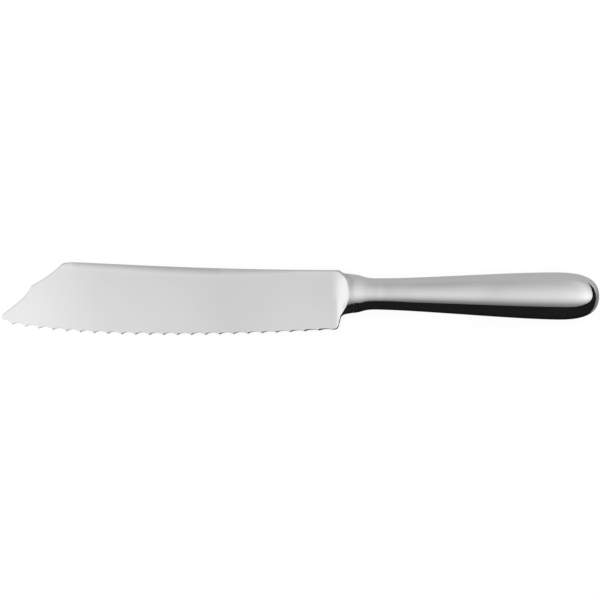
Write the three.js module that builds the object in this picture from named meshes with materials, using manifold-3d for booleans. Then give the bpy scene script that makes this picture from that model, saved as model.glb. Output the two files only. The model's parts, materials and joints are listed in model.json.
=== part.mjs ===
// Cake knife: a serrated blade forging set in a hollow handle of two pressed shells, lying on its side.
// Millimetres. +X runs from the blade's tip to the butt, +Y from the cutting edge to the spine, +Z up.
// The sizes below are taken from the joint, where the bolster meets the handle's mouth, and from the
// handle's axis. The finished knife is then laid down on its tip and its handle.

import * as THREE from 'three';
import { mergeVertices } from 'three/addons/utils/BufferGeometryUtils.js';
import Module from 'manifold-3d';

// Handle and the collar that runs on from it
const handleLength = 111;
const collarFromJoint = 5.6;
const collarWidth = 19.5;
const waistFromJoint = 10.2;
const waistWidth = 14.04;
const bellyFromButt = 18.2;
const bellyWidth = 21.36;
const neckThickness = 8.3;
const bellyThickness = 13.1;
const shellWall = 0.9;

// How full the handle's curves are, as shares of each stretch
const flareStart = { along: 0.468, drop: 0.458 };
const flareEnd = 0.684;
const swellStart = 0.24;
const swellEnd = 0.736;
const buttStart = 0.76;
const buttFullness = 0.62;

// Blade thicknesses and the round run-out from its flat faces into the bolster. The wedge from spine
// to edge is steep enough that, lying on its side, the blade rests on the step and not on its nose.
const spineThickness = 2.4;
const heelEdgeThickness = 0.7;
const tipThinning = 0.4;
const heelCheekThickness = 3.4;
const runOutRadius = 8.5;
const runOutFromJoint = 9.2;

// Blade tip: a blunt nose, then two hollow clips that meet in a rounded step
const noseFromJoint = 158.9;
const noseDrop = 12.4;
const noseHeight = 2.3;
const noseBulge = 0.3;
const stepFoot = { fromNose: 12.7, rise: 1.5 };
const stepCorner = { fromNose: 13.3, rise: 2.4 };
const stepHead = { fromNose: 14.4, rise: 2.86 };
const clipTop = { fromNose: 26.2, rise: 11.65 };
const lowerClipStart = { run: 5, rise: 4.6 };
const lowerClipEnd = { run: 3, rise: 5.7 };
const upperClipHollow = 0.75;

// Spine, from the rounded corner behind the clip to the shoulder in front of the collar
const spineCorner = { fromNose: 27.9, rise: 12.75 };
const spineFront = { fromNose: 31.9, rise: 12.82 };
const spineFrontRun = 30;
const spineFrontFall = 0.88;
const spineHeelRun = 60;
const spineHeelDip = 0.45;
const shoulderFromJoint = 7.4;
const shoulderRise = 10.62;

// Cutting edge: a bellied line of teeth with hollows between them
const firstToothFromNose = 4.75;
const firstToothDrop = 15.74;
const edgeSag = 3.8;
const edgeSagFromNose = 52.9;
const toothPitch = 6.34;
const pitchGrowth = 0.03;
const noseHollowDepth = 0.75;
const hollowDepth = 1.2;
const heelHollowDepth = 0.45;

// Heel, from the last tooth up to the collar
const heelFromJoint = 8.64;
const heelDrop = 16.28;
const heelCornerRound = 1.9;
const choilFromJoint = 5.57;
const choilDrop = 11.04;

// Tang and spigot inside the handle, and what holds them there
const spigotLength = 5;
const tangLength = 62;
const tangTipWidth = 5;
const cementBesideTang = 2.3;
const cementOverTang = 1.45;
const keyHoleDiameter = 3;
const keyHoleFromTip = 8;
const cementPastTang = 8;
const solderFilm = 0.2;
const filmClearance = 0.05;
const seatClearance = 0.3;

// Fineness of the curves
const outlineSteps = 8;
const aroundSteps = 32;
const bladeCurveSteps = 6;
const runOutSteps = 48;
const holeSteps = 12;

const { lerp } = THREE.MathUtils;
const wasm = await Module();
wasm.setup();

// A closed solid that can be joined and cut
function solidOf(geometry) {
  geometry.deleteAttribute('normal');
  geometry.deleteAttribute('uv');
  const welded = mergeVertices(geometry);
  return new wasm.Manifold(new wasm.Mesh({
    numProp: 3,
    vertProperties: welded.attributes.position.array,
    triVerts: Uint32Array.from(welded.index.array),
  }));
}

// A named piece in its own material
function pieceOf(name, solid, material) {
  const { vertProperties, triVerts } = solid.getMesh();
  const geometry = new THREE.BufferGeometry();
  geometry.setAttribute('position', new THREE.BufferAttribute(vertProperties, 3));
  geometry.setIndex(new THREE.BufferAttribute(triVerts, 1));
  geometry.computeVertexNormals();
  const piece = new THREE.Mesh(geometry, material);
  piece.name = name;
  return piece;
}

// A block between two places along the handle and two heights, wider than the knife
function blockOf(xLow, xHigh, zLow, zHigh) {
  const geometry = new THREE.BoxGeometry(xHigh - xLow, 2 * bellyWidth, zHigh - zLow);
  geometry.translate((xLow + xHigh) / 2, 0, (zLow + zHigh) / 2);
  return solidOf(geometry);
}

// Half of the handle's outline, from the collar's front to the butt, drawn in by an even inset.
// Each point is a distance from the axis and a place along it.
function handleOutline(collar, waist, belly, inset) {
  const front = -collarFromJoint;
  const bellyAt = handleLength - bellyFromButt;
  const butt = handleLength - inset;
  const collarHalf = collar / 2 - inset;
  const waistHalf = waist / 2 - inset;
  const bellyHalf = belly / 2 - inset;
  const outline = new THREE.Path();
  outline.moveTo(0, front);
  outline.lineTo(collarHalf, front);
  outline.bezierCurveTo(
    lerp(collarHalf, waistHalf, flareStart.drop), lerp(front, waistFromJoint, flareStart.along),
    waistHalf, lerp(front, waistFromJoint, flareEnd),
    waistHalf, waistFromJoint,
  );
  outline.bezierCurveTo(
    waistHalf, lerp(waistFromJoint, bellyAt, swellStart),
    bellyHalf, lerp(waistFromJoint, bellyAt, swellEnd),
    bellyHalf, bellyAt,
  );
  outline.bezierCurveTo(
    bellyHalf, lerp(bellyAt, butt, buttStart),
    bellyHalf * buttFullness, butt,
    0, butt,
  );
  return outline.getPoints(outlineSteps);
}

// The handle and collar as one oval bar: turned to its width, then flattened ring by ring to its thickness
function ovalBar(inset) {
  const across = handleOutline(collarWidth, waistWidth, bellyWidth, inset);
  const through = handleOutline(neckThickness, neckThickness, bellyThickness, inset);
  const geometry = new THREE.LatheGeometry(across, aroundSteps);
  const place = geometry.attributes.position;
  for (let i = 0; i < place.count; i += 1) {
    const ring = i % across.length;
    const flatness = across[ring].x > 0 ? through[ring].x / across[ring].x : 1;
    place.setZ(i, place.getZ(i) * flatness);
  }
  geometry.rotateZ(-Math.PI / 2);
  return solidOf(geometry);
}

// Blade outline, from the nose along the teeth to the heel, and back along the spine and the clip
function bladeOutline() {
  const nose = new THREE.Vector2(-noseFromJoint, -noseDrop);
  const behindNose = ({ fromNose, rise }) => new THREE.Vector2(nose.x + fromNose, rise);
  const noseTop = new THREE.Vector2(nose.x + noseBulge, nose.y + noseHeight / 2);
  const noseFoot = new THREE.Vector2(nose.x + noseBulge, nose.y - noseHeight / 2);
  const outline = new THREE.Shape();
  const bendTo = (bend, to) => outline.quadraticCurveTo(bend.x, bend.y, to.x, to.y);
  const sweepTo = (bend, nextBend, to) => {
    outline.bezierCurveTo(bend.x, bend.y, nextBend.x, nextBend.y, to.x, to.y);
  };
  const hollowTo = (to, depth) => {
    const from = outline.currentPoint;
    bendTo(new THREE.Vector2((from.x + to.x) / 2, (from.y + to.y) / 2 + 2 * depth), to);
  };

  // Teeth, spread evenly along the edge but for a little growth towards the heel
  const firstTooth = new THREE.Vector2(nose.x + firstToothFromNose, -firstToothDrop);
  const heel = new THREE.Vector2(-heelFromJoint, -heelDrop);
  const sagPoint = new THREE.Vector2(nose.x + edgeSagFromNose, (firstTooth.y + heel.y) / 2 - 2 * edgeSag);
  const toothLine = new THREE.QuadraticBezierCurve(firstTooth, sagPoint, heel);
  const hollows = Math.round(toothLine.getLength() / toothPitch);
  outline.moveTo(noseFoot.x, noseFoot.y);
  hollowTo(firstTooth, noseHollowDepth);
  for (let i = 1; i <= hollows; i += 1) {
    const share = i / hollows;
    const tooth = toothLine.getPointAt(lerp(share, share * share, pitchGrowth));
    hollowTo(tooth, lerp(hollowDepth, heelHollowDepth, share ** 3));
  }

  // Rounded heel corner and the rise to the choil. Inside the collar the outline narrows, so that no
  // corner of the blank stands out of the oval.
  const choil = new THREE.Vector2(-choilFromJoint, -choilDrop);
  const rootFoot = new THREE.Vector2(-collarFromJoint / 2, -waistWidth / 2);
  const rootTop = new THREE.Vector2(-collarFromJoint / 2, waistWidth / 2);
  const shoulder = new THREE.Vector2(-shoulderFromJoint, shoulderRise);
  const heelCorner = new THREE.Vector2(heel.x + heelCornerRound, heel.y);
  const heelRise = choil.clone().sub(heelCorner);
  const cornerEnd = heelCorner.clone().addScaledVector(heelRise, heelCornerRound / heelRise.length());
  bendTo(heelCorner, cornerEnd);
  outline.lineTo(choil.x, choil.y);
  bendTo(new THREE.Vector2(-collarFromJoint, -collarWidth / 2), rootFoot);
  outline.lineTo(rootTop.x, rootTop.y);
  const collarTop = new THREE.Vector2(-collarFromJoint, rootTop.y);
  sweepTo(collarTop, new THREE.Vector2(-collarFromJoint, shoulder.y), shoulder);

  // Spine, then the upper clip, the step and the lower clip
  const front = behindNose(spineFront);
  sweepTo(
    new THREE.Vector2(shoulder.x - spineHeelRun, shoulder.y - spineHeelDip),
    new THREE.Vector2(front.x + spineFrontRun, front.y - spineFrontFall),
    front,
  );
  const head = behindNose(stepHead);
  const foot = behindNose(stepFoot);
  bendTo(behindNose(spineCorner), behindNose(clipTop));
  const clipMiddle = behindNose(clipTop).lerp(head, 0.5);
  bendTo(new THREE.Vector2(clipMiddle.x + upperClipHollow, clipMiddle.y - upperClipHollow), head);
  bendTo(behindNose(stepCorner), foot);
  sweepTo(
    new THREE.Vector2(foot.x - lowerClipEnd.run, foot.y - lowerClipEnd.rise),
    new THREE.Vector2(noseTop.x + lowerClipStart.run, noseTop.y + lowerClipStart.rise),
    noseTop,
  );
  bendTo(new THREE.Vector2(nose.x - noseBulge, nose.y), noseFoot);
  return outline;
}

// What grinding takes off one side of the blank: all that lies above the flat face, and the round
// run-out into the bolster. The side is 1 for the front and -1 for the back.
function groundAway(side) {
  const length = 2 * noseFromJoint;
  const width = 4 * bellyWidth;
  const flat = new THREE.BoxGeometry(length, width, neckThickness);
  flat.translate(-length / 2, 0, side * neckThickness / 2);
  const runOut = new THREE.CylinderGeometry(runOutRadius, runOutRadius, width, runOutSteps);
  runOut.translate(0, 0, side * runOutRadius);
  const edgeTaper = (spineThickness - heelEdgeThickness) / 2 / (shoulderRise + heelDrop);
  const tipTaper = tipThinning / 2 / (noseFromJoint - runOutFromJoint);
  for (const tool of [flat, runOut]) {
    tool.rotateX(side * Math.atan(edgeTaper));
    tool.rotateY(-side * Math.atan(tipTaper));
    tool.translate(-runOutFromJoint, shoulderRise, side * spineThickness / 2);
  }
  return solidOf(flat).add(solidOf(runOut));
}

// Tang with its key hole, swollen by a margin where it is used to leave room for itself.
// Its root is what the waist's hollow leaves inside the cement.
function tangWith(margin) {
  const filled = shellWall + seatClearance;
  const tangWidth = waistWidth - 2 * (filled + cementBesideTang);
  const tangThickness = neckThickness - 2 * (filled + cementOverTang);
  const rootHalf = tangWidth / 2 + margin;
  const tipHalf = tangTipWidth / 2 + margin;
  const end = tangLength + margin;
  const outline = new THREE.Shape();
  outline.moveTo(-collarFromJoint / 2, -rootHalf);
  outline.lineTo(end, -tipHalf);
  outline.lineTo(end, tipHalf);
  outline.lineTo(-collarFromJoint / 2, rootHalf);
  const hole = new THREE.Path();
  hole.absarc(tangLength - keyHoleFromTip, 0, keyHoleDiameter / 2 - margin, 0, 2 * Math.PI);
  outline.holes.push(hole);
  const depth = tangThickness + 2 * margin;
  const geometry = new THREE.ExtrudeGeometry(outline, { depth, bevelEnabled: false, curveSegments: holeSteps });
  geometry.translate(0, 0, -depth / 2);
  return solidOf(geometry);
}

// Blade forging: the ground blank, its collar, the spigot that centres it and the tang
function bladeForging() {
  const geometry = new THREE.ExtrudeGeometry(bladeOutline(), {
    depth: heelCheekThickness,
    bevelEnabled: false,
    curveSegments: bladeCurveSteps,
  });
  geometry.translate(0, 0, -heelCheekThickness / 2);
  const collar = handleBar.intersect(blockOf(-collarFromJoint, 0, -neckThickness, neckThickness));
  const spigot = ovalBar(shellWall + seatClearance)
    .intersect(blockOf(-collarFromJoint / 2, spigotLength, -neckThickness, neckThickness));
  return solidOf(geometry)
    .add(collar)
    .subtract(groundAway(1))
    .subtract(groundAway(-1))
    .add(spigot)
    .add(tangWith(0));
}

const handleBar = ovalBar(0);
const handleShell = handleBar.subtract(ovalBar(shellWall));

// The shells stop short of the bolster and of each other by a film of solder and its clearances
const filmGap = solderFilm + 2 * filmClearance;
const beyond = 2 * handleLength;
const frontShell = handleShell.intersect(blockOf(filmGap, beyond, filmGap / 2, beyond));
const backShell = handleShell.intersect(blockOf(filmGap, beyond, -beyond, -filmGap / 2));
const seamFilm = handleShell.intersect(blockOf(filmGap, beyond, -solderFilm / 2, solderFilm / 2));
const neckFilm = handleShell.intersect(blockOf(filmClearance, filmClearance + solderFilm, -beyond, beyond));
const cementFill = ovalBar(shellWall + seatClearance)
  .intersect(blockOf(spigotLength + seatClearance, tangLength + cementPastTang, -beyond, beyond))
  .subtract(tangWith(seatClearance));

const bladeSteel = new THREE.MeshStandardMaterial({ color: 0xd2d2d2, roughness: 0.28, metalness: 1 });
const handleSteel = new THREE.MeshStandardMaterial({ color: 0xd6d6d6, roughness: 0.1, metalness: 1 });
const braze = new THREE.MeshStandardMaterial({ color: 0xc9c8c4, roughness: 0.25, metalness: 1 });
const cement = new THREE.MeshStandardMaterial({ color: 0xa79d8c, roughness: 0.9, metalness: 0 });

const blade = pieceOf('blade', bladeForging(), bladeSteel);
const shellFront = pieceOf('handle_shell_front', frontShell, handleSteel);
const shellBack = pieceOf('handle_shell_back', backShell, handleSteel);

const knife = new THREE.Group();
knife.add(blade, shellFront, shellBack);
knife.add(pieceOf('seam_braze', seamFilm, braze));
knife.add(pieceOf('neck_solder', neckFilm, braze));
knife.add(pieceOf('tang_cement', cementFill, cement));

// The point of a piece that lies lowest once the handle's end is raised by an angle
function lowestPoint(piece, angle) {
  const place = piece.geometry.attributes.position;
  const heightOf = (point) => point.z * Math.cos(angle) + point.x * Math.sin(angle);
  const lowest = new THREE.Vector3().fromBufferAttribute(place, 0);
  const point = new THREE.Vector3();
  for (let i = 1; i < place.count; i += 1) {
    point.fromBufferAttribute(place, i);
    if (heightOf(point) < heightOf(lowest)) {
      lowest.copy(point);
    }
  }
  return lowest;
}

// On its side the knife rests on the step behind the nose and on the handle's belly, so its far end
// is raised until both are equally low
const restRounds = 8;
let restAngle = 0;
for (let i = 0; i < restRounds; i += 1) {
  const tip = lowestPoint(blade, restAngle);
  const belly = lowestPoint(shellBack, restAngle);
  restAngle = Math.atan2(tip.z - belly.z, belly.x - tip.x);
}
knife.rotation.y = -restAngle;

// The origin is the middle of the knife's footprint, on the surface it lies on
const box = new THREE.Box3().setFromObject(knife, true);
const middle = box.getCenter(new THREE.Vector3());
knife.position.set(-middle.x, -middle.y, -box.min.z);

const cakeKnife = new THREE.Group();
cakeKnife.add(knife);

export default cakeKnife;
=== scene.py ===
import json
import math
import bmesh
import bpy
from mathutils import Matrix, Vector
from mathutils.geometry import interpolate_bezier


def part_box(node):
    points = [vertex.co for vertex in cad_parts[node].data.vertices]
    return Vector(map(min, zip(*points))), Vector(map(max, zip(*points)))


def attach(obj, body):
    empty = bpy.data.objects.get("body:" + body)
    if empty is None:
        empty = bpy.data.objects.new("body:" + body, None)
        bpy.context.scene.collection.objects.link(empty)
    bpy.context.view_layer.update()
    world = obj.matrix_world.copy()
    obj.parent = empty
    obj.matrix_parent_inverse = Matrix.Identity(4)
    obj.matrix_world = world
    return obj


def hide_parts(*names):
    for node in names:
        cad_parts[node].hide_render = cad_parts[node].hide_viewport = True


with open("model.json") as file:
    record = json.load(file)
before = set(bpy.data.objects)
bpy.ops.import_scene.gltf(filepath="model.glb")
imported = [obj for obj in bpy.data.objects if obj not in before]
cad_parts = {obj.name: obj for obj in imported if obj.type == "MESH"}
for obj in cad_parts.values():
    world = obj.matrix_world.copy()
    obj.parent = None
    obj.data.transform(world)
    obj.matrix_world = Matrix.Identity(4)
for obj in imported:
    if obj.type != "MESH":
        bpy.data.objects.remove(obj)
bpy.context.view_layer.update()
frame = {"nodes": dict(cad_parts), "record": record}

mm = 0.001

# pieces are drawn in mm in the knife's own frame: X from the bolster joint towards the butt,
# Y from the handle's axis towards the spine, Z up out of the blade. placing lays them where the CAD lies
mounts = {mount["name"]: Vector(mount["axis"]) for mount in frame["record"]["mounts"]}
faceUp = (mounts["blade_face"] - mounts["blade_back"]).normalized()
lying = Vector((0, 0, 1)).rotation_difference(faceUp).to_matrix().to_4x4()
ringLow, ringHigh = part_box("neck_solder")
ringMiddle = Matrix.Translation((-0.15, 0, 0))  # the ring's middle is this far behind the joint
placing = Matrix.Translation((ringLow + ringHigh) / 2) @ lying @ Matrix.Scale(mm, 4) @ ringMiddle


def mix(a, b, share):
    return a + (b - a) * share


def easeBetween(low, high, value):
    share = min(max((value - low) / (high - low), 0), 1)
    return share * share * (3 - 2 * share)


def bend(start, turn, end, steps):  # curve with one turning point
    start, turn, end = Vector(start), Vector(turn), Vector(end)
    return interpolate_bezier(start, start.lerp(turn, 2 / 3), end.lerp(turn, 2 / 3), end, steps)


def sweep(start, turn, nextTurn, end, steps):
    return interpolate_bezier(Vector(start), Vector(turn), Vector(nextTurn), Vector(end), steps)


def heightAt(curve, x):  # reads a curve that runs along X
    if x <= curve[0][0]:
        return curve[0][1]
    for before, after in zip(curve, curve[1:]):
        if x <= after[0]:
            return mix(before[1], after[1], (x - before[0]) / max(after[0] - before[0], 1e-9))
    return curve[-1][1]


def slopeAt(curve, x, reach=0.05):
    return (heightAt(curve, x + reach) - heightAt(curve, x - reach)) / (2 * reach)


# materials

def newMaterial(name):
    material = bpy.data.materials.new(name)
    material.use_nodes = True
    nodes = material.node_tree.nodes
    shader = nodes["Principled BSDF"]
    return material, nodes, material.node_tree.links, shader


def grainNoise(nodes, links, scale, detail, rough=0.5):  # noise on Object coordinates, stretched by scale
    coords = nodes.new("ShaderNodeTexCoord")
    mapping = nodes.new("ShaderNodeMapping")
    mapping.inputs["Scale"].default_value = scale
    noise = nodes.new("ShaderNodeTexNoise")
    noise.inputs["Scale"].default_value = 1
    noise.inputs["Detail"].default_value = detail
    noise.inputs["Roughness"].default_value = rough
    links.new(coords.outputs["Object"], mapping.inputs["Vector"])
    links.new(mapping.outputs["Vector"], noise.inputs["Vector"])
    return noise.outputs["Fac"]


def spread(nodes, links, value, low, high, fromLow=0.3, fromHigh=0.7):
    node = nodes.new("ShaderNodeMapRange")
    node.inputs["From Min"].default_value = fromLow
    node.inputs["From Max"].default_value = fromHigh
    node.inputs["To Min"].default_value = low
    node.inputs["To Max"].default_value = high
    links.new(value, node.inputs["Value"])
    return node.outputs["Result"]


def combine(nodes, links, operation, first, second):
    node = nodes.new("ShaderNodeMath")
    node.operation = operation
    for socket, value in zip(node.inputs, (first, second)):
        if isinstance(value, (int, float)):
            socket.default_value = value
        else:
            links.new(value, socket)
    return node.outputs["Value"]


def greyColour(nodes, links, value):
    node = nodes.new("ShaderNodeCombineColor")
    for socket in node.inputs[:3]:
        links.new(value, socket)
    return node.outputs["Color"]


def shadeBetween(nodes, links, value, dark, light):
    node = nodes.new("ShaderNodeValToRGB")
    node.color_ramp.elements[0].color = dark
    node.color_ramp.elements[1].color = light
    links.new(value, node.inputs["Fac"])
    return node.outputs["Color"]


def addBump(nodes, links, shader, height, strength, distance):
    bump = nodes.new("ShaderNodeBump")
    bump.inputs["Strength"].default_value = strength
    bump.inputs["Distance"].default_value = distance
    links.new(height, bump.inputs["Height"])
    links.new(bump.outputs["Normal"], shader.inputs["Normal"])


satin = {
    "grey": (0.662, 0.678),
    "paintedShadeGrey": 0.25,  # share of the grey that is left on the teeth's bevels and in the crease, which is painted shade
    "roughness": (0.085, 0.115),
    "uneven": 0.015,  # slow change of the roughness
    "groundRough": 0.1,
    "strokes": (5200, 90, 5200),
    "clouds": (45, 45, 45),
    "bump": (0.02, 0.00002),  # strength and distance
}


def makeBladeSteel():
    material, nodes, links, shader = newMaterial("satinBladeSteel")
    shader.inputs["Metallic"].default_value = 1
    strokes = grainNoise(nodes, links, satin["strokes"], detail=3)  # polishing strokes from spine to edge
    clouds = grainNoise(nodes, links, satin["clouds"], detail=3)
    groundAndShade = nodes.new("ShaderNodeAttribute")  # 1 on the teeth's bevels and less in the crease: rougher steel there, and a darker grey that is painted shade
    groundAndShade.attribute_name = "groundAndShade"
    grey = spread(nodes, links, clouds, *satin["grey"])
    # painted shade: the grey gets darker on the teeth's bevels and in the crease behind the crest
    darker = spread(nodes, links, groundAndShade.outputs["Fac"], 1, satin["paintedShadeGrey"], 0, 1)
    grey = combine(nodes, links, "MULTIPLY", grey, darker)
    links.new(greyColour(nodes, links, grey), shader.inputs["Base Color"])
    uneven = spread(nodes, links, clouds, -satin["uneven"], satin["uneven"])
    fine = spread(nodes, links, strokes, *satin["roughness"])
    coarse = combine(nodes, links, "MULTIPLY", groundAndShade.outputs["Fac"], satin["groundRough"])
    roughness = combine(nodes, links, "ADD", combine(nodes, links, "ADD", fine, uneven), coarse)
    links.new(roughness, shader.inputs["Roughness"])
    addBump(nodes, links, shader, strokes, *satin["bump"])
    return material


polish = {
    "grey": (0.66, 0.68),
    "roughness": (0.05, 0.08),
    "lineRough": 0.012,  # what a hairline adds
    "hairlines": (260, 5200, 5200),
    "smudges": (70, 110, 110),
    "bump": (0.012, 0.00001),
}


def makeHandleSteel():
    material, nodes, links, shader = newMaterial("mirrorHandleSteel")
    shader.inputs["Metallic"].default_value = 1
    hairlines = grainNoise(nodes, links, polish["hairlines"], detail=2)  # what is left of the buffing
    smudges = grainNoise(nodes, links, polish["smudges"], detail=4, rough=0.6)
    grey = spread(nodes, links, smudges, *polish["grey"])
    links.new(greyColour(nodes, links, grey), shader.inputs["Base Color"])
    haze = spread(nodes, links, smudges, *polish["roughness"])
    lines = spread(nodes, links, hairlines, 0, polish["lineRough"])
    links.new(combine(nodes, links, "ADD", haze, lines), shader.inputs["Roughness"])
    addBump(nodes, links, shader, hairlines, *polish["bump"])
    return material


silver = {
    "dark": (0.6, 0.6, 0.59, 1),
    "light": (0.7, 0.7, 0.69, 1),
    "pits": (2600, 2600, 2600),
    "roughness": (0.05, 0.09),
    "bump": (0.04, 0.00001),
}


def makeBraze():
    material, nodes, links, shader = newMaterial("silverBraze")
    shader.inputs["Metallic"].default_value = 1
    pits = grainNoise(nodes, links, silver["pits"], detail=4)
    colour = shadeBetween(nodes, links, pits, silver["dark"], silver["light"])
    links.new(colour, shader.inputs["Base Color"])
    links.new(spread(nodes, links, pits, *silver["roughness"]), shader.inputs["Roughness"])
    addBump(nodes, links, shader, pits, *silver["bump"])
    return material


filler = {
    "dark": (0.3, 0.26, 0.2, 1),
    "light": (0.48, 0.43, 0.35, 1),
    "grains": (1400, 1400, 1400),
    "roughness": (0.8, 0.97),
    "bump": (0.6, 0.0002),
}


def makeCement():
    material, nodes, links, shader = newMaterial("tangCement")
    grains = grainNoise(nodes, links, filler["grains"], detail=6, rough=0.65)
    colour = shadeBetween(nodes, links, grains, filler["dark"], filler["light"])
    links.new(colour, shader.inputs["Base Color"])
    links.new(spread(nodes, links, grains, *filler["roughness"]), shader.inputs["Roughness"])
    addBump(nodes, links, shader, grains, *filler["bump"])
    return material


bladeSteel = makeBladeSteel()
handleSteel = makeHandleSteel()
braze = makeBraze()
print("materials made")

sharpFrom = 40  # degrees between faces
mergeWithin = 0.0005  # points closer than this become one
tiny = 1e-6  # counts as nothing


def addPiece(bm, node, material):
    bmesh.ops.transform(bm, matrix=placing, verts=bm.verts)
    for face in bm.faces:
        face.smooth = True
    for edge in bm.edges:
        edge.smooth = edge.calc_face_angle(0) < math.radians(sharpFrom)
    mesh = bpy.data.meshes.new(node + "_finished")
    bm.to_mesh(mesh)
    bm.free()
    mesh.materials.append(material)
    piece = bpy.data.objects.new(node + "_finished", mesh)
    bpy.context.scene.collection.objects.link(piece)
    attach(piece, "root")
    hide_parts(node)
    print(node, "done:", len(mesh.polygons), "faces")


# hollow handle

handle = {
    "butt": 111.0,
    "collar": (-5.6, 9.75),  # place and half width
    "waist": (10.2, 7.1),
    "belly": (92.8, 10.68),
    "neckThick": 4.19,  # half thicknesses
    "bellyThick": 6.53,
    "wall": 0.9,
    "mouth": 0.3,  # where the shells begin behind the joint
    "mouthRound": 0.006,
    "mouthArc": (0.75, 0.35),  # a point of its rounding, in shares of it
    "flare": (0.468, 0.458, 0.684),  # how full the curves are, as shares of each stretch
    "swell": (0.24, 0.736),
    "end": (0.76, 0.62),
    "lip": 0.3,  # the outline stays full as far as this lip behind the joint
    "lipRun": (-1.5, 2.4, 6.4),  # from, highest, to
    "ring": 0.045,  # rise of the collar ring before the joint
    "ringRun": (-3.2, -1),
    "ringFall": 0.33,  # its fall behind the joint
    "fallRun": (-0.6, 6),
    "recover": 0.24,  # and what it regains before the grip
    "recoverRun": (8, 28),
    "along": (40, 14),  # steps outside and inside
    "leastStep": 0.05,
    "around": 128,
    "seam": 0.15,  # half of the gap between the shells
    "film": 0.145,
}


def handleCurve(collarHalf, waistHalf, bellyHalf, inset, steps):
    collarAt, waistAt, bellyAt = handle["collar"][0], handle["waist"][0], handle["belly"][0]
    butt = handle["butt"] - inset
    collarHalf, waistHalf, bellyHalf = collarHalf - inset, waistHalf - inset, bellyHalf - inset
    flareStart, flareDrop, flareEnd = handle["flare"]
    swellStart, swellEnd = handle["swell"]
    endStart, endFull = handle["end"]
    flare = sweep((collarAt, collarHalf),
                  (mix(collarAt, waistAt, flareStart), mix(collarHalf, waistHalf, flareDrop)),
                  (mix(collarAt, waistAt, flareEnd), waistHalf), (waistAt, waistHalf), steps)
    swell = sweep((waistAt, waistHalf), (mix(waistAt, bellyAt, swellStart), waistHalf),
                  (mix(waistAt, bellyAt, swellEnd), bellyHalf), (bellyAt, bellyHalf), 2 * steps)
    end = sweep((bellyAt, bellyHalf), (mix(bellyAt, butt, endStart), bellyHalf),
                (butt, bellyHalf * endFull), (butt, 0), 2 * steps)
    return flare + swell[1:] + end[1:]


def handleCurves(inset, steps):  # the outline seen from above, and the one seen from the side
    across = handleCurve(handle["collar"][1], handle["waist"][1], handle["belly"][1], inset, steps)
    through = handleCurve(handle["neckThick"], handle["neckThick"], handle["bellyThick"], inset, steps)
    lipFrom, lipTop, lipTo = handle["lipRun"]
    for side, top in zip(across, through):
        x = side[0]
        side[1] += handle["lip"] * (easeBetween(lipFrom, lipTop, x) - easeBetween(lipTop, lipTo, x))
        rise = handle["ring"] * easeBetween(*handle["ringRun"], x)
        top[1] += rise - handle["ringFall"] * easeBetween(*handle["fallRun"], x)
        top[1] += handle["recover"] * easeBetween(*handle["recoverRun"], x)
    return across, through


collarAcross, collarThrough = handleCurves(0, handle["along"][0])


def spinOval(bm, chain):  # spins a closed chain of (place, half width, half thickness) round the axis
    flatness = bm.verts.layers.float.new("flatness")
    verts = []
    for place, across, through in chain:
        vert = bm.verts.new((place, across, 0))
        vert[flatness] = through / across if across > tiny else 1
        verts.append(vert)
    edges = []
    for start, end in zip(verts, verts[1:] + verts[:1]):
        if max(start.co.y, end.co.y) > tiny:  # no edge lies on the axis
            edges.append(bm.edges.new((start, end)))
    bmesh.ops.spin(bm, geom=verts + edges, cent=(0, 0, 0), axis=(1, 0, 0),
                   angle=2 * math.pi, steps=handle["around"], use_merge=True)
    for vert in bm.verts:
        vert.co.z *= vert[flatness]
    bmesh.ops.remove_doubles(bm, verts=bm.verts, dist=mergeWithin)
    bmesh.ops.recalc_face_normals(bm, faces=bm.faces)


def wallChain(inset, steps, start):
    across, through = handleCurves(inset, steps)
    chain = [(start, heightAt(across, start), heightAt(through, start))]
    chain += [(a[0], a[1], t[1]) for a, t in zip(across, through) if a[0] > start + handle["leastStep"]]
    chain[-1] = (handle["butt"] - inset, 0, 0)  # exactly on the axis
    return chain


def makeCup():
    outsideSteps, insideSteps = handle["along"]
    outer = wallChain(0, outsideSteps, handle["mouth"] + handle["mouthRound"])
    inner = wallChain(handle["wall"], insideSteps, handle["mouth"])
    place, across, through = outer[0]
    soft = handle["mouthRound"]
    back, sunk = handle["mouthArc"]
    rim = [(place - soft, across - soft, through - soft)]
    rim.append((place - back * soft, across - sunk * soft, through - sunk * soft))
    bm = bmesh.new()
    spinOval(bm, rim + outer + inner[::-1])
    return bm


def cutAt(bm, height, keepAbove):
    bmesh.ops.bisect_plane(bm, geom=bm.verts[:] + bm.edges[:] + bm.faces[:], dist=tiny,
                           plane_co=(0, 0, height), plane_no=(0, 0, 1),
                           clear_inner=keepAbove, clear_outer=not keepAbove)
    rims = [edge for edge in bm.edges if edge.is_boundary]
    bmesh.ops.holes_fill(bm, edges=rims, sides=0)


frontShell = makeCup()
cutAt(frontShell, handle["seam"], True)
addPiece(frontShell, "handle_shell_front", handleSteel)

backShell = makeCup()
cutAt(backShell, -handle["seam"], False)
addPiece(backShell, "handle_shell_back", handleSteel)

seam = makeCup()
cutAt(seam, -handle["film"], True)
cutAt(seam, handle["film"], False)
addPiece(seam, "seam_braze", braze)

neckRing = {"from": 0.02, "to": 0.28, "sunk": 0.01}


def makeNeckRing():
    front, back, sunk, wall = neckRing["from"], neckRing["to"], neckRing["sunk"], handle["wall"]
    chain = []
    for place, below in ((front, sunk), (back, sunk), (back, wall), (front, wall)):
        across, through = heightAt(collarAcross, place), heightAt(collarThrough, place)
        chain.append((place, across - below, through - below))
    bm = bmesh.new()
    spinOval(bm, chain)
    return bm


addPiece(makeNeckRing(), "neck_solder", braze)


# blade and bolster

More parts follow.
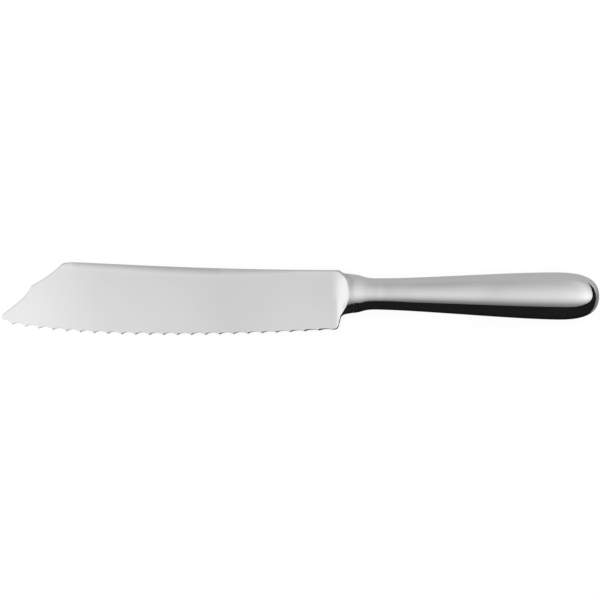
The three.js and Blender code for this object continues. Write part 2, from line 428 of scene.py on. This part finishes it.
blade = {
    "nose": (-158.9, -12.4),
    "noseHalf": 1.15,
    "noseBulge": 0.3,
    "noseSteps": 6,
    "firstTooth": (-154.15, -15.74),
    "sag": (-106.0, -23.52),
    "heel": (-8.64, -16.4),
    "hollows": 23,
    "toothSpread": 0.023,  # how much wider apart the teeth get towards the heel
    "hollowDepth": (0.75, 1.2, 0.45),  # behind the nose, along the edge, at the heel
    "bevel": (0.03, 0.18),  # least width, along the edge and at the heel
    "bevelGrows": (0.86, 1),  # between these shares of the edge
    "toothBevel": 0.55,  # what is added behind each tooth
    "toothBevelFirst": 0.4,  # share of it at the first tooth
    "toothBevelGrows": (0, 0.45),
    "toothFade": (4, 2.2),  # power by which it fades behind a tooth, at first and at the heel
    "toothFadeGrows": (0.5, 1),
    "edgeHalf": 0.03,
    "spineHalf": 1.2,
    "wedge": 0.058,  # fall of the face at the spine, which the hollow grind eases towards the edge
    "hollowGrind": 0.001,
    "tipTaper": 0.00134,
    "spineLine": 10.62,
    "spineEnd": -127.0,  # the clip cuts through the rolled spine left of here
    # how wide the rolled spine is along the blade, and how steep it ends
    "rollWidth": [(-127, 3.6), (-115, 3.9), (-60, 4.8), (-40, 3.4), (-25, 1.9), (0, 1.8)],
    "rollTilt": [(-126, 0.36), (-115, 0.43), (-97, 0.52), (-60, 0.57), (-25, 0.42), (-10, 0.36),
                 (-8.2, 0.42), (-7, 0.9)],
    "rollPower": 2.5,
    "rim": 0.18,  # rounding of the spine's very edge
    "rimAtClip": 0.3,  # share of it that is left along the clip
    "rimGrows": (-132, -127),
    "runOut": -8.9,  # where the run-out into the bolster begins
    "ovalRun": 2.7,  # over this length the rows spread out as on an oval
    "runOutLate": (-0.2, 1.25),  # how much later it begins near the spine and near the edge
    "runOutRise": (0.1915, 1.5),  # its rise over a distance: factor and power
    "runOutSteeper": (-0.25, 0.5),  # how much steeper it is near the spine and near the edge
    "nearSpine": (2, 9),  # distances from the axis over which that sets in
    "nearEdge": (1, 7.5),
    "collarFull": 3.2,  # how full the collar is towards the spine, where 2 is an oval
    "collarFullGrows": (-1, -4.5),
    "crestRound": 0.4,  # how softly the run-out ends at the crest in front of the collar
    "creaseShade": 0.25,  # painted shade: a darker grey in the crease behind the crest, which is also rougher
    "creaseDepth": (0, 0.3, 1.4, 2.4),  # begins, is full, fades, ends
    "creaseAcross": (-3, 4.5),
    "heelRound": 0.5,
    "heelRoundEnds": (-5.3, -4.2),
    "columns": 24,  # in each hollow
    "heelColumns": [(-6.2, 24), (-4.2, 32), (0, 46)],  # where heel, choil and collar end, and their steps
    "heelRows": 0.4,  # height of the lowest rows there
    "bevelRows": (0, 0.4, 0.8, 1, 1.15),  # rows of points, in shares of each band
    "rollRows": (1, 0.85, 0.7, 0.56, 0.44, 0.33, 0.24, 0.16),
    "rimRows": (0.6, 0.3, 0.1, 0),
    "flatRows": 24,
    "leastFlat": 0.8,  # the bevel and the roll get narrower where the blade is too low for this
    "leastFit": 0.001,
    "mergeWithin": 0.0002,
    "tangFrom": 0.002,  # just behind the bolster's back
}


def topCurve():
    noseTop = (blade["nose"][0] + blade["noseBulge"], blade["nose"][1] + blade["noseHalf"])
    curve = sweep(noseTop, (-153.3, -6.75), (-148.7, -4.2), (-145.9, 1.5), 40)  # lower clip
    curve += bend((-145.9, 1.5), (-145.3, 2.4), (-144.2, 2.86), 12)[1:]  # rounded step
    curve += bend((-144.2, 2.86), (-137.5, 6.505), (-132.9, 11.1), 30)[1:]  # upper clip
    curve += bend((-132.9, 11.1), (-131.7, 12.3), (-130.4, 12.52), 12)[1:]  # its rounded corner
    curve += bend((-130.4, 12.52), (-128.8, 12.8), (-127, 12.82), 8)[1:]
    curve += sweep((-127, 12.82), (-97, 11.94), (-67.4, 10.17), (-6.6, 10.6), 80)[1:]  # spine
    curve += sweep((-6.6, 10.6), (-5.7, 10.6), (-5.1, 9.4), (-3.6, 9.14), 24)[1:]  # shoulder
    return curve + [point for point in collarAcross if point[0] > -1.9]


def heelCurve():
    curve = bend(blade["heel"], (-6.45, -16.45), (-6.1, -14.43), 20)  # rounded heel
    curve += bend((-6.1, -14.43), (-5.7, -12.73), (-5.3, -11.04), 12)[1:]
    curve += bend((-5.3, -11.04), (-4.8, -9.7), (-3, -heightAt(collarAcross, -3)), 18)[1:]  # choil
    return curve + [(point[0], -point[1]) for point in collarAcross if point[0] > -2.95]


def toothPoints():  # along the bellied edge
    line = bend(blade["firstTooth"], blade["sag"], blade["heel"], 400)
    run = [0]
    for before, after in zip(line, line[1:]):
        run.append(run[-1] + (after - before).length)
    acrossRun = list(zip(run, [point.x for point in line]))
    alongRun = list(zip(run, [point.y for point in line]))
    points = []
    for i in range(blade["hollows"] + 1):
        share = i / blade["hollows"]
        place = run[-1] * mix(share, share * share, blade["toothSpread"])
        points.append((heightAt(acrossRun, place), heightAt(alongRun, place)))
    return points


spineTop = topCurve()
heelLine = heelCurve()


# a column is a place along the blade: x, lower outline, upper outline and width of the bevel

def hollowColumns(start, end, depth, share):  # from one tooth to just before the next
    least = mix(*blade["bevel"], easeBetween(*blade["bevelGrows"], share))
    added = mix(blade["toothBevelFirst"], 1, easeBetween(*blade["toothBevelGrows"], share))
    extra = blade["toothBevel"] * added
    fading = mix(*blade["toothFade"], easeBetween(*blade["toothFadeGrows"], share))
    for i in range(blade["columns"]):
        q = i / blade["columns"]
        x = mix(start[0], end[0], q)
        low = mix(start[1], end[1], q) + 4 * depth * q * (1 - q)
        yield x, low, heightAt(spineTop, x), least + extra * (1 - q) ** fading


def heelColumn(x):
    return x, heightAt(heelLine, x), heightAt(spineTop, x), blade["heelRows"]


def bladeColumns():
    noseX, noseY = blade["nose"]
    leastBevel = blade["bevel"][0]
    columns = []
    for i in range(1, blade["noseSteps"]):  # round end of the nose
        angle = i / blade["noseSteps"] * math.pi / 2
        half = blade["noseHalf"] * math.sin(angle)
        x = noseX + blade["noseBulge"] * (1 - math.cos(angle))
        columns.append((x, noseY - half, noseY + half, leastBevel))
    teeth = toothPoints()
    noseFoot = (noseX + blade["noseBulge"], noseY - blade["noseHalf"])
    behindNose, along, atHeel = blade["hollowDepth"]
    for column in hollowColumns(noseFoot, teeth[0], behindNose, 0):
        columns.append(column[:3] + (leastBevel,))
    for i in range(blade["hollows"]):
        share = (i + 1) / blade["hollows"]
        columns += hollowColumns(teeth[i], teeth[i + 1], mix(along, atHeel, share ** 3), share)
    start = blade["heel"][0]
    for end, steps in blade["heelColumns"]:
        columns += [heelColumn(mix(start, end, i / steps)) for i in range(steps)]
        start = end
    return columns + [heelColumn(start)]


def softMin(a, b, soft):
    blend = max(soft - abs(a - b), 0) / soft
    return min(a, b) - blend * blend * soft / 4


leastRadius = 1e-4  # where a rounding has faded out


def roundOver(distance, radius):  # 0 at the outline, 1 from the radius inwards
    if distance >= radius:
        return 1
    return math.sqrt(max(1 - (1 - distance / radius) ** 2, 0))


def rowDistances(height, bevel, roll, rim):  # distances from the lower outline
    low = [bevel * share for share in blade["bevelRows"]]
    high = [height - roll * share for share in blade["rollRows"]]
    high += [height - rim * share for share in blade["rimRows"]]
    steps = blade["flatRows"] + 1
    return low + [mix(low[-1], high[0], i / steps) for i in range(1, steps)] + high


def columnBands(x, low, top, bevel):  # how wide bevel, roll and rim are in a column, and where its rows lie
    height = top - low
    roll = heightAt(blade["rollWidth"], x)
    full = blade["bevelRows"][-1] * bevel + roll + blade["leastFlat"]
    fit = min(1, height / full + blade["leastFit"])
    bevel, roll = bevel * fit, roll * fit
    collarShare = easeBetween(blade["runOut"], blade["runOut"] + blade["ovalRun"], x)
    rim = blade["rim"] * mix(blade["rimAtClip"], 1, easeBetween(*blade["rimGrows"], x))
    rim = rim * fit * (1 - collarShare) + leastRadius
    straight = rowDistances(height, bevel, roll, rim)
    last = len(straight) - 1
    oval = [height * (1 - math.cos(math.pi * i / last)) / 2 for i in range(last + 1)]
    return bevel, roll, rim, [mix(a, b, collarShare) for a, b in zip(straight, oval)]


def wedgeHeight(x, y):  # half thickness of the plain blade
    fall = blade["spineLine"] - y
    z = blade["spineHalf"] - blade["wedge"] * fall + blade["hollowGrind"] * fall * fall
    return z - blade["tipTaper"] * max(blade["runOut"] - x, 0)


def spineRoll(x, y, fromTop, roll):  # what the rolled spine takes off
    fromSpine = fromTop if x > blade["spineEnd"] else heightAt(spineTop, blade["spineEnd"]) - y
    if fromSpine >= roll:
        return 0
    power = blade["rollPower"]
    return heightAt(blade["rollTilt"], x) * roll / power * (1 - fromSpine / roll) ** power


def runOutRise(x, y):
    factor, power = blade["runOutRise"]
    lateAtSpine, lateAtEdge = blade["runOutLate"]
    steeperAtSpine, steeperAtEdge = blade["runOutSteeper"]
    spineward, edgeward = easeBetween(*blade["nearSpine"], y), easeBetween(*blade["nearEdge"], -y)
    begin = blade["runOut"] + lateAtSpine * spineward + lateAtEdge * edgeward
    steeper = 1 + steeperAtEdge * edgeward + steeperAtSpine * spineward
    return factor * steeper * max(x - begin, 0) ** power


def collarHeight(x, y, low, top):
    half = top if y > 0 else low
    fullness = mix(2, blade["collarFull"], easeBetween(*blade["collarFullGrows"], x)) if y > 0 else 2
    return heightAt(collarThrough, x) * math.sqrt(max(1 - abs(y / half) ** fullness, 0))


def paintedCreaseShade(behind, y):  # painted shade in the crease; behind grows with the distance behind the crest
    begins, full, fades, ends = blade["creaseDepth"]
    crease = easeBetween(begins, full, behind) * (1 - easeBetween(fades, ends, behind))
    return blade["creaseShade"] * crease * easeBetween(*blade["creaseAcross"], y)


def makeBladeFace(bm):
    columns = bladeColumns()
    bands = [columnBands(*column) for column in columns]
    rowCount = len(bands[0][-1]) + 2
    bmesh.ops.create_grid(bm, x_segments=len(columns) - 1, y_segments=rowCount - 1, size=1)
    groundAndShade = bm.verts.layers.float.new("groundAndShade")
    for vert in bm.verts:
        column = round((vert.co.x + 1) / 2 * (len(columns) - 1))
        row = round((vert.co.y + 1) / 2 * (rowCount - 1))
        x, low, top = columns[column][:3]
        bevel, roll, rim, rows = bands[column]
        if row in (0, rowCount - 1):  # the outline itself, where both faces meet
            vert.co = (x, low if row == 0 else top, 0)
            continue
        y = low + rows[row - 1]
        fromTop = (top - y) / math.hypot(1, slopeAt(spineTop, x))
        z = wedgeHeight(x, y) - spineRoll(x, y, fromTop, roll)
        if x > blade["runOut"]:
            z += runOutRise(x, y)
            collar = collarHeight(x, y, low, top)
            # painted shade in the crease behind the crest
            vert[groundAndShade] = paintedCreaseShade(z - collar, y)
            z = softMin(z, collar, blade["crestRound"])
        z *= roundOver(fromTop, rim)
        fromLow = y - low
        if x < blade["heel"][0] and fromLow < bevel * 1.001:  # the band along the teeth, with its upper row, which gets rougher steel and a painted shade
            z = mix(blade["edgeHalf"], z, fromLow / bevel)
            # rougher there, and painted shade on the teeth
            vert[groundAndShade] = 1
        if x >= blade["heel"][0]:
            fromLow /= math.hypot(1, slopeAt(heelLine, x))
            heelRound = blade["heelRound"] * (1 - easeBetween(*blade["heelRoundEnds"], x))
            z *= roundOver(fromLow, heelRound + leastRadius)
        vert.co = (x, y, max(z, 0))


def addTang(bm):  # spigot and tang are hidden, so their CAD shape is kept
    copy = bmesh.new()
    copy.from_mesh(frame["nodes"]["blade"].data)
    bmesh.ops.transform(copy, matrix=placing.inverted(), verts=copy.verts)
    bmesh.ops.remove_doubles(copy, verts=copy.verts, dist=mergeWithin)
    bmesh.ops.bisect_plane(copy, geom=copy.verts[:] + copy.edges[:] + copy.faces[:], dist=tiny,
                           plane_co=(blade["tangFrom"], 0, 0), plane_no=(1, 0, 0), clear_inner=True)
    bmesh.ops.holes_fill(copy, edges=[edge for edge in copy.edges if edge.is_boundary], sides=0)
    passing = bpy.data.meshes.new("tangPassing")
    copy.to_mesh(passing)
    copy.free()
    bm.from_mesh(passing)
    bpy.data.meshes.remove(passing)


def makeBlade():
    bm = bmesh.new()
    makeBladeFace(bm)
    bmesh.ops.mirror(bm, geom=bm.verts[:] + bm.edges[:] + bm.faces[:], matrix=Matrix.Identity(4),
                     merge_dist=blade["mergeWithin"], axis="Z")
    bmesh.ops.remove_doubles(bm, verts=bm.verts, dist=blade["mergeWithin"])
    bmesh.ops.dissolve_degenerate(bm, edges=bm.edges, dist=blade["mergeWithin"])
    ends = [edge for edge in bm.edges if edge.is_boundary]  # the nose and the bolster's back
    bmesh.ops.holes_fill(bm, edges=ends, sides=0)
    bmesh.ops.recalc_face_normals(bm, faces=bm.faces)
    addTang(bm)
    return bm


addPiece(makeBlade(), "blade", bladeSteel)

cementNode = frame["nodes"]["tang_cement"]
cementNode.data.materials.clear()
cementNode.data.materials.append(makeCement())
print("tang_cement done: it keeps its CAD shape")

# studio: pale floor, and for reflections only a soft tent, a dark card round the handle and a table.
# floor, tent and camera are in metres, card and table in mm of the CAD frame

def stageObject(name, bm, material):
    mesh = bpy.data.meshes.new(name)
    bm.to_mesh(mesh)
    bm.free()
    mesh.materials.append(material)
    obj = bpy.data.objects.new(name, mesh)
    bpy.context.scene.collection.objects.link(obj)
    return obj


def onlyReflected(obj):
    obj.visible_camera = False
    obj.visible_diffuse = False
    obj.visible_shadow = False
    obj.visible_volume_scatter = False


def emptyMaterial(name):
    material = bpy.data.materials.new(name)
    material.use_nodes = True
    nodes = material.node_tree.nodes
    nodes.clear()
    return material, nodes, material.node_tree.links, nodes.new("ShaderNodeOutputMaterial")


def objectAxes(nodes, links):
    coords = nodes.new("ShaderNodeTexCoord")
    axes = nodes.new("ShaderNodeSeparateXYZ")
    links.new(coords.outputs["Object"], axes.inputs["Vector"])
    return axes.outputs


def addGlow(nodes, links, output, level):
    glow = nodes.new("ShaderNodeEmission")
    links.new(level, glow.inputs["Strength"])
    links.new(glow.outputs["Emission"], output.inputs["Surface"])


def angleShare(nodes, links, angle, low, high):  # 0 at the low angle and 1 at the high one, in degrees
    return spread(nodes, links, angle, 0, 1, math.radians(low), math.radians(high))


brightest = 1.5  # a ramp holds shares of this


def brightnessRamp(nodes, links, angle, stops, reach):
    place = angleShare(nodes, links, angle, -reach, reach)
    ramp = nodes.new("ShaderNodeValToRGB")
    elements = ramp.color_ramp.elements
    while len(elements) < len(stops):
        elements.new(0.5)
    for element, (degrees, level) in zip(elements, stops):
        element.position = (degrees + reach) / (2 * reach)
        element.color = [level / brightest] * 3 + [1]
    links.new(place, ramp.inputs["Fac"])
    return combine(nodes, links, "MULTIPLY", ramp.outputs["Color"], brightest)


floor = {
    "half": 6,
    "grey": (0.95, 0.95, 0.95, 1),
    "white": 1.02,
    "whiteShare": 0.9,  # of the floor as the camera and reflections see it, and the rest takes the shadow
}


def makeFloor():
    material, nodes, links, output = emptyMaterial("paleFloor")
    path = nodes.new("ShaderNodeLightPath")
    seen = combine(nodes, links, "MAXIMUM", path.outputs["Is Camera Ray"], path.outputs["Is Glossy Ray"])
    seen = combine(nodes, links, "MAXIMUM", seen, path.outputs["Is Transmission Ray"])
    share = combine(nodes, links, "MULTIPLY", seen, floor["whiteShare"])
    diffuse = nodes.new("ShaderNodeBsdfDiffuse")
    diffuse.inputs["Color"].default_value = floor["grey"]
    glow = nodes.new("ShaderNodeEmission")
    glow.inputs["Strength"].default_value = floor["white"]
    blend = nodes.new("ShaderNodeMixShader")
    links.new(share, blend.inputs["Fac"])
    links.new(diffuse.outputs["BSDF"], blend.inputs[1])
    links.new(glow.outputs["Emission"], blend.inputs[2])
    links.new(blend.outputs["Shader"], output.inputs["Surface"])
    bm = bmesh.new()
    bmesh.ops.create_grid(bm, x_segments=1, y_segments=1, size=floor["half"])
    stageObject("floor", bm, material)


# angles are in degrees from straight up: along the knife (+ towards the butt) and across it
# (+ towards the cutting edge)
tent = {
    "radius": 10.0,
    "segments": (96, 48),
    "foot": -0.01,
    "reach": 100,
    "along": [  # angle and brightness
        (-90, 0.7), (-82, 0.78), (-76, 1.3), (-64, 1.34), (-57, 1.3), (-48, 1.2), (-36, 1.06), (-24, 0.98),
        (-13, 0.98), (-9.8, 1.32), (-8.9, 1.22), (-8.55, 1.06), (-8.04, 0.85), (-7.3, 1.02), (-6.45, 0.975),
        (-5.6, 0.93), (-4.7, 0.83), (-3.9, 0.89), (-3.1, 1.04), (-2.5, 0.84), (-1.1, 0.96), (2.3, 0.99),
        (6.6, 1.05), (13.8, 1.1), (30, 1.36), (33, 1.41), (46, 1.27), (60, 1), (72, 0.8), (80, 0.35),
        (90, 0.3),
    ],
    "across": [
        (-50, 0.648), (-35, 0.721), (-19, 0.885), (-11, 0.97), (-4, 1.02), (1.6, 1.055), (3.6, 1.015),
        (9, 0.942), (16, 0.755), (24, 0.46), (28, 0.34), (32, 0.27), (36, 0.25), (44, 0.34), (60, 0.55),
        (75, 0.66), (90, 0.7),
    ],
    "leftEnd": (-45, -20),  # the middle of the left end is even across
    "aside": (30, 48),
    "behind": (-62, -48),  # behind the knife the tent is even along
}


def evenOut(nodes, links, level, share):  # the level itself where share is 1, and plain 1 where it is 0
    past = combine(nodes, links, "SUBTRACT", level, 1)
    return combine(nodes, links, "ADD", combine(nodes, links, "MULTIPLY", past, share), 1)


def makeTent():
    material, nodes, links, output = emptyMaterial("softTent")
    axes = objectAxes(nodes, links)
    towardsEdge = combine(nodes, links, "MULTIPLY", axes["Y"], -1)
    alongAngle = combine(nodes, links, "ARCTAN2", axes["X"], axes["Z"])
    acrossAngle = combine(nodes, links, "ARCTAN2", towardsEdge, axes["Z"])
    along = brightnessRamp(nodes, links, alongAngle, tent["along"], tent["reach"])
    across = brightnessRamp(nodes, links, acrossAngle, tent["across"], tent["reach"])
    inside = angleShare(nodes, links, alongAngle, *tent["leftEnd"])
    toSide = combine(nodes, links, "ABSOLUTE", acrossAngle, 0)
    aside = angleShare(nodes, links, toSide, *tent["aside"])
    across = evenOut(nodes, links, across, combine(nodes, links, "MAXIMUM", inside, aside))
    inFront = angleShare(nodes, links, acrossAngle, *tent["behind"])
    along = evenOut(nodes, links, along, inFront)
    addGlow(nodes, links, output, combine(nodes, links, "MULTIPLY", along, across))
    bm = bmesh.new()
    around, up = tent["segments"]
    bmesh.ops.create_uvsphere(bm, u_segments=around, v_segments=up, radius=tent["radius"])
    bmesh.ops.bisect_plane(bm, geom=bm.verts[:] + bm.edges[:] + bm.faces[:], plane_co=(0, 0, tent["foot"]),
                           plane_no=(0, 0, 1), clear_inner=True)
    onlyReflected(stageObject("tent", bm, material))


# the card stands in front of the knife and bends round its butt
card = {
    "axis": 3.5,  # the handle's axis
    "centre": 124,  # the place that it bends round
    "distance": 40,
    "left": -340,
    "step": 5,
    "bendAngles": range(-90, 55, 3),
    "black": 0.0138,  # beside the handle
    "pale": (0.68, 0.28),  # its left is as bright as the tent behind it, at the foot and higher up
    "paleHeight": 55,
    "fade": (-110, 16),  # from pale to black
    "fadePower": 0.6,
    "frontTop": [(18, 55), (32.5, 73), (44, 60.5), (66, 61.5), (90, 62), (124, 63.2)],  # height by place
    "bendTop": [(-90, 63.2), (-45, 53.5), (-20, 42), (0, 36.5), (25, 33), (45, 24), (54, 21)],  # by angle
    "bendFoot": [(-45, 0), (-20, 11.5), (0, 15.5), (25, 18.5), (54, 20.5)],
}


def makeCard():
    material, nodes, links, output = emptyMaterial("darkCard")
    axes = objectAxes(nodes, links)
    fadeFrom, fadeTo = card["fade"]
    pale = spread(nodes, links, axes["Z"], *card["pale"], 0, card["paleHeight"] * mm)
    share = spread(nodes, links, axes["X"], 1, 0, fadeFrom * mm, fadeTo * mm)
    share = combine(nodes, links, "POWER", share, card["fadePower"])
    pale = combine(nodes, links, "MULTIPLY", pale, share)
    addGlow(nodes, links, output, combine(nodes, links, "MAXIMUM", pale, card["black"]))
    bm = bmesh.new()
    feet, tops = [], []
    for x in range(card["left"], card["centre"], card["step"]):
        y = card["axis"] - card["distance"]
        feet.append(bm.verts.new((x * mm, y * mm, 0)))
        tops.append(bm.verts.new((x * mm, y * mm, heightAt(card["frontTop"], x) * mm)))
    for angle in card["bendAngles"]:
        x = card["centre"] + card["distance"] * math.cos(math.radians(angle))
        y = card["axis"] + card["distance"] * math.sin(math.radians(angle))
        feet.append(bm.verts.new((x * mm, y * mm, heightAt(card["bendFoot"], angle) * mm)))
        tops.append(bm.verts.new((x * mm, y * mm, heightAt(card["bendTop"], angle) * mm)))
    for i in range(len(feet) - 1):
        bm.faces.new((feet[i], feet[i + 1], tops[i + 1], tops[i]))
    onlyReflected(stageObject("card", bm, material))


table = {
    "above": 0.1,  # the floor
    # what the steel sees of it, by angle round the butt: dark in front, lighter behind
    "levels": [(-180, 0.012), (-49, 0.012), (-44, 0.27), (0, 0.31), (30, 0.55), (60, 0.63), (180, 0.63)],
    "left": (-144, -140),  # past the blade's tip it is bright
    "leftLevel": 1.3,
}


def makeTable():
    material, nodes, links, output = emptyMaterial("table")
    axes = objectAxes(nodes, links)
    pastAxis = combine(nodes, links, "SUBTRACT", axes["Y"], card["axis"] * mm)
    pastCentre = combine(nodes, links, "SUBTRACT", axes["X"], card["centre"] * mm)
    roundButt = combine(nodes, links, "ARCTAN2", pastAxis, pastCentre)
    level = brightnessRamp(nodes, links, roundButt, table["levels"], 180)
    brightTo, darkFrom = table["left"]
    atLeft = spread(nodes, links, axes["X"], table["leftLevel"], 0, brightTo * mm, darkFrom * mm)
    addGlow(nodes, links, output, combine(nodes, links, "MAXIMUM", level, atLeft))
    bm = bmesh.new()
    bmesh.ops.create_grid(bm, x_segments=1, y_segments=1, size=floor["half"],
                          matrix=Matrix.Translation((0, 0, table["above"] * mm)))
    onlyReflected(stageObject("table", bm, material))


makeFloor()
makeTent()
makeCard()
makeTable()

world = bpy.data.worlds.new("plainWhite")
world.use_nodes = True
world.node_tree.nodes["Background"].inputs["Color"].default_value = (1, 1, 1, 1)
world.node_tree.nodes["Background"].inputs["Strength"].default_value = 1
bpy.context.scene.world = world
bpy.context.scene.view_settings.view_transform = "Standard"

shot = {"place": (0.000094, 0.000355, 1.2), "lens": 158.74, "sensor": 36, "turn": 0.66}

camera = bpy.data.cameras.new("camera")
camera.lens = shot["lens"]
camera.sensor_width = shot["sensor"]
cameraObject = bpy.data.objects.new("camera", camera)
cameraObject.location = shot["place"]
cameraObject.rotation_euler = (0, 0, math.radians(shot["turn"]))
bpy.context.scene.collection.objects.link(cameraObject)
bpy.context.scene.camera = cameraObject
print("studio and camera set")
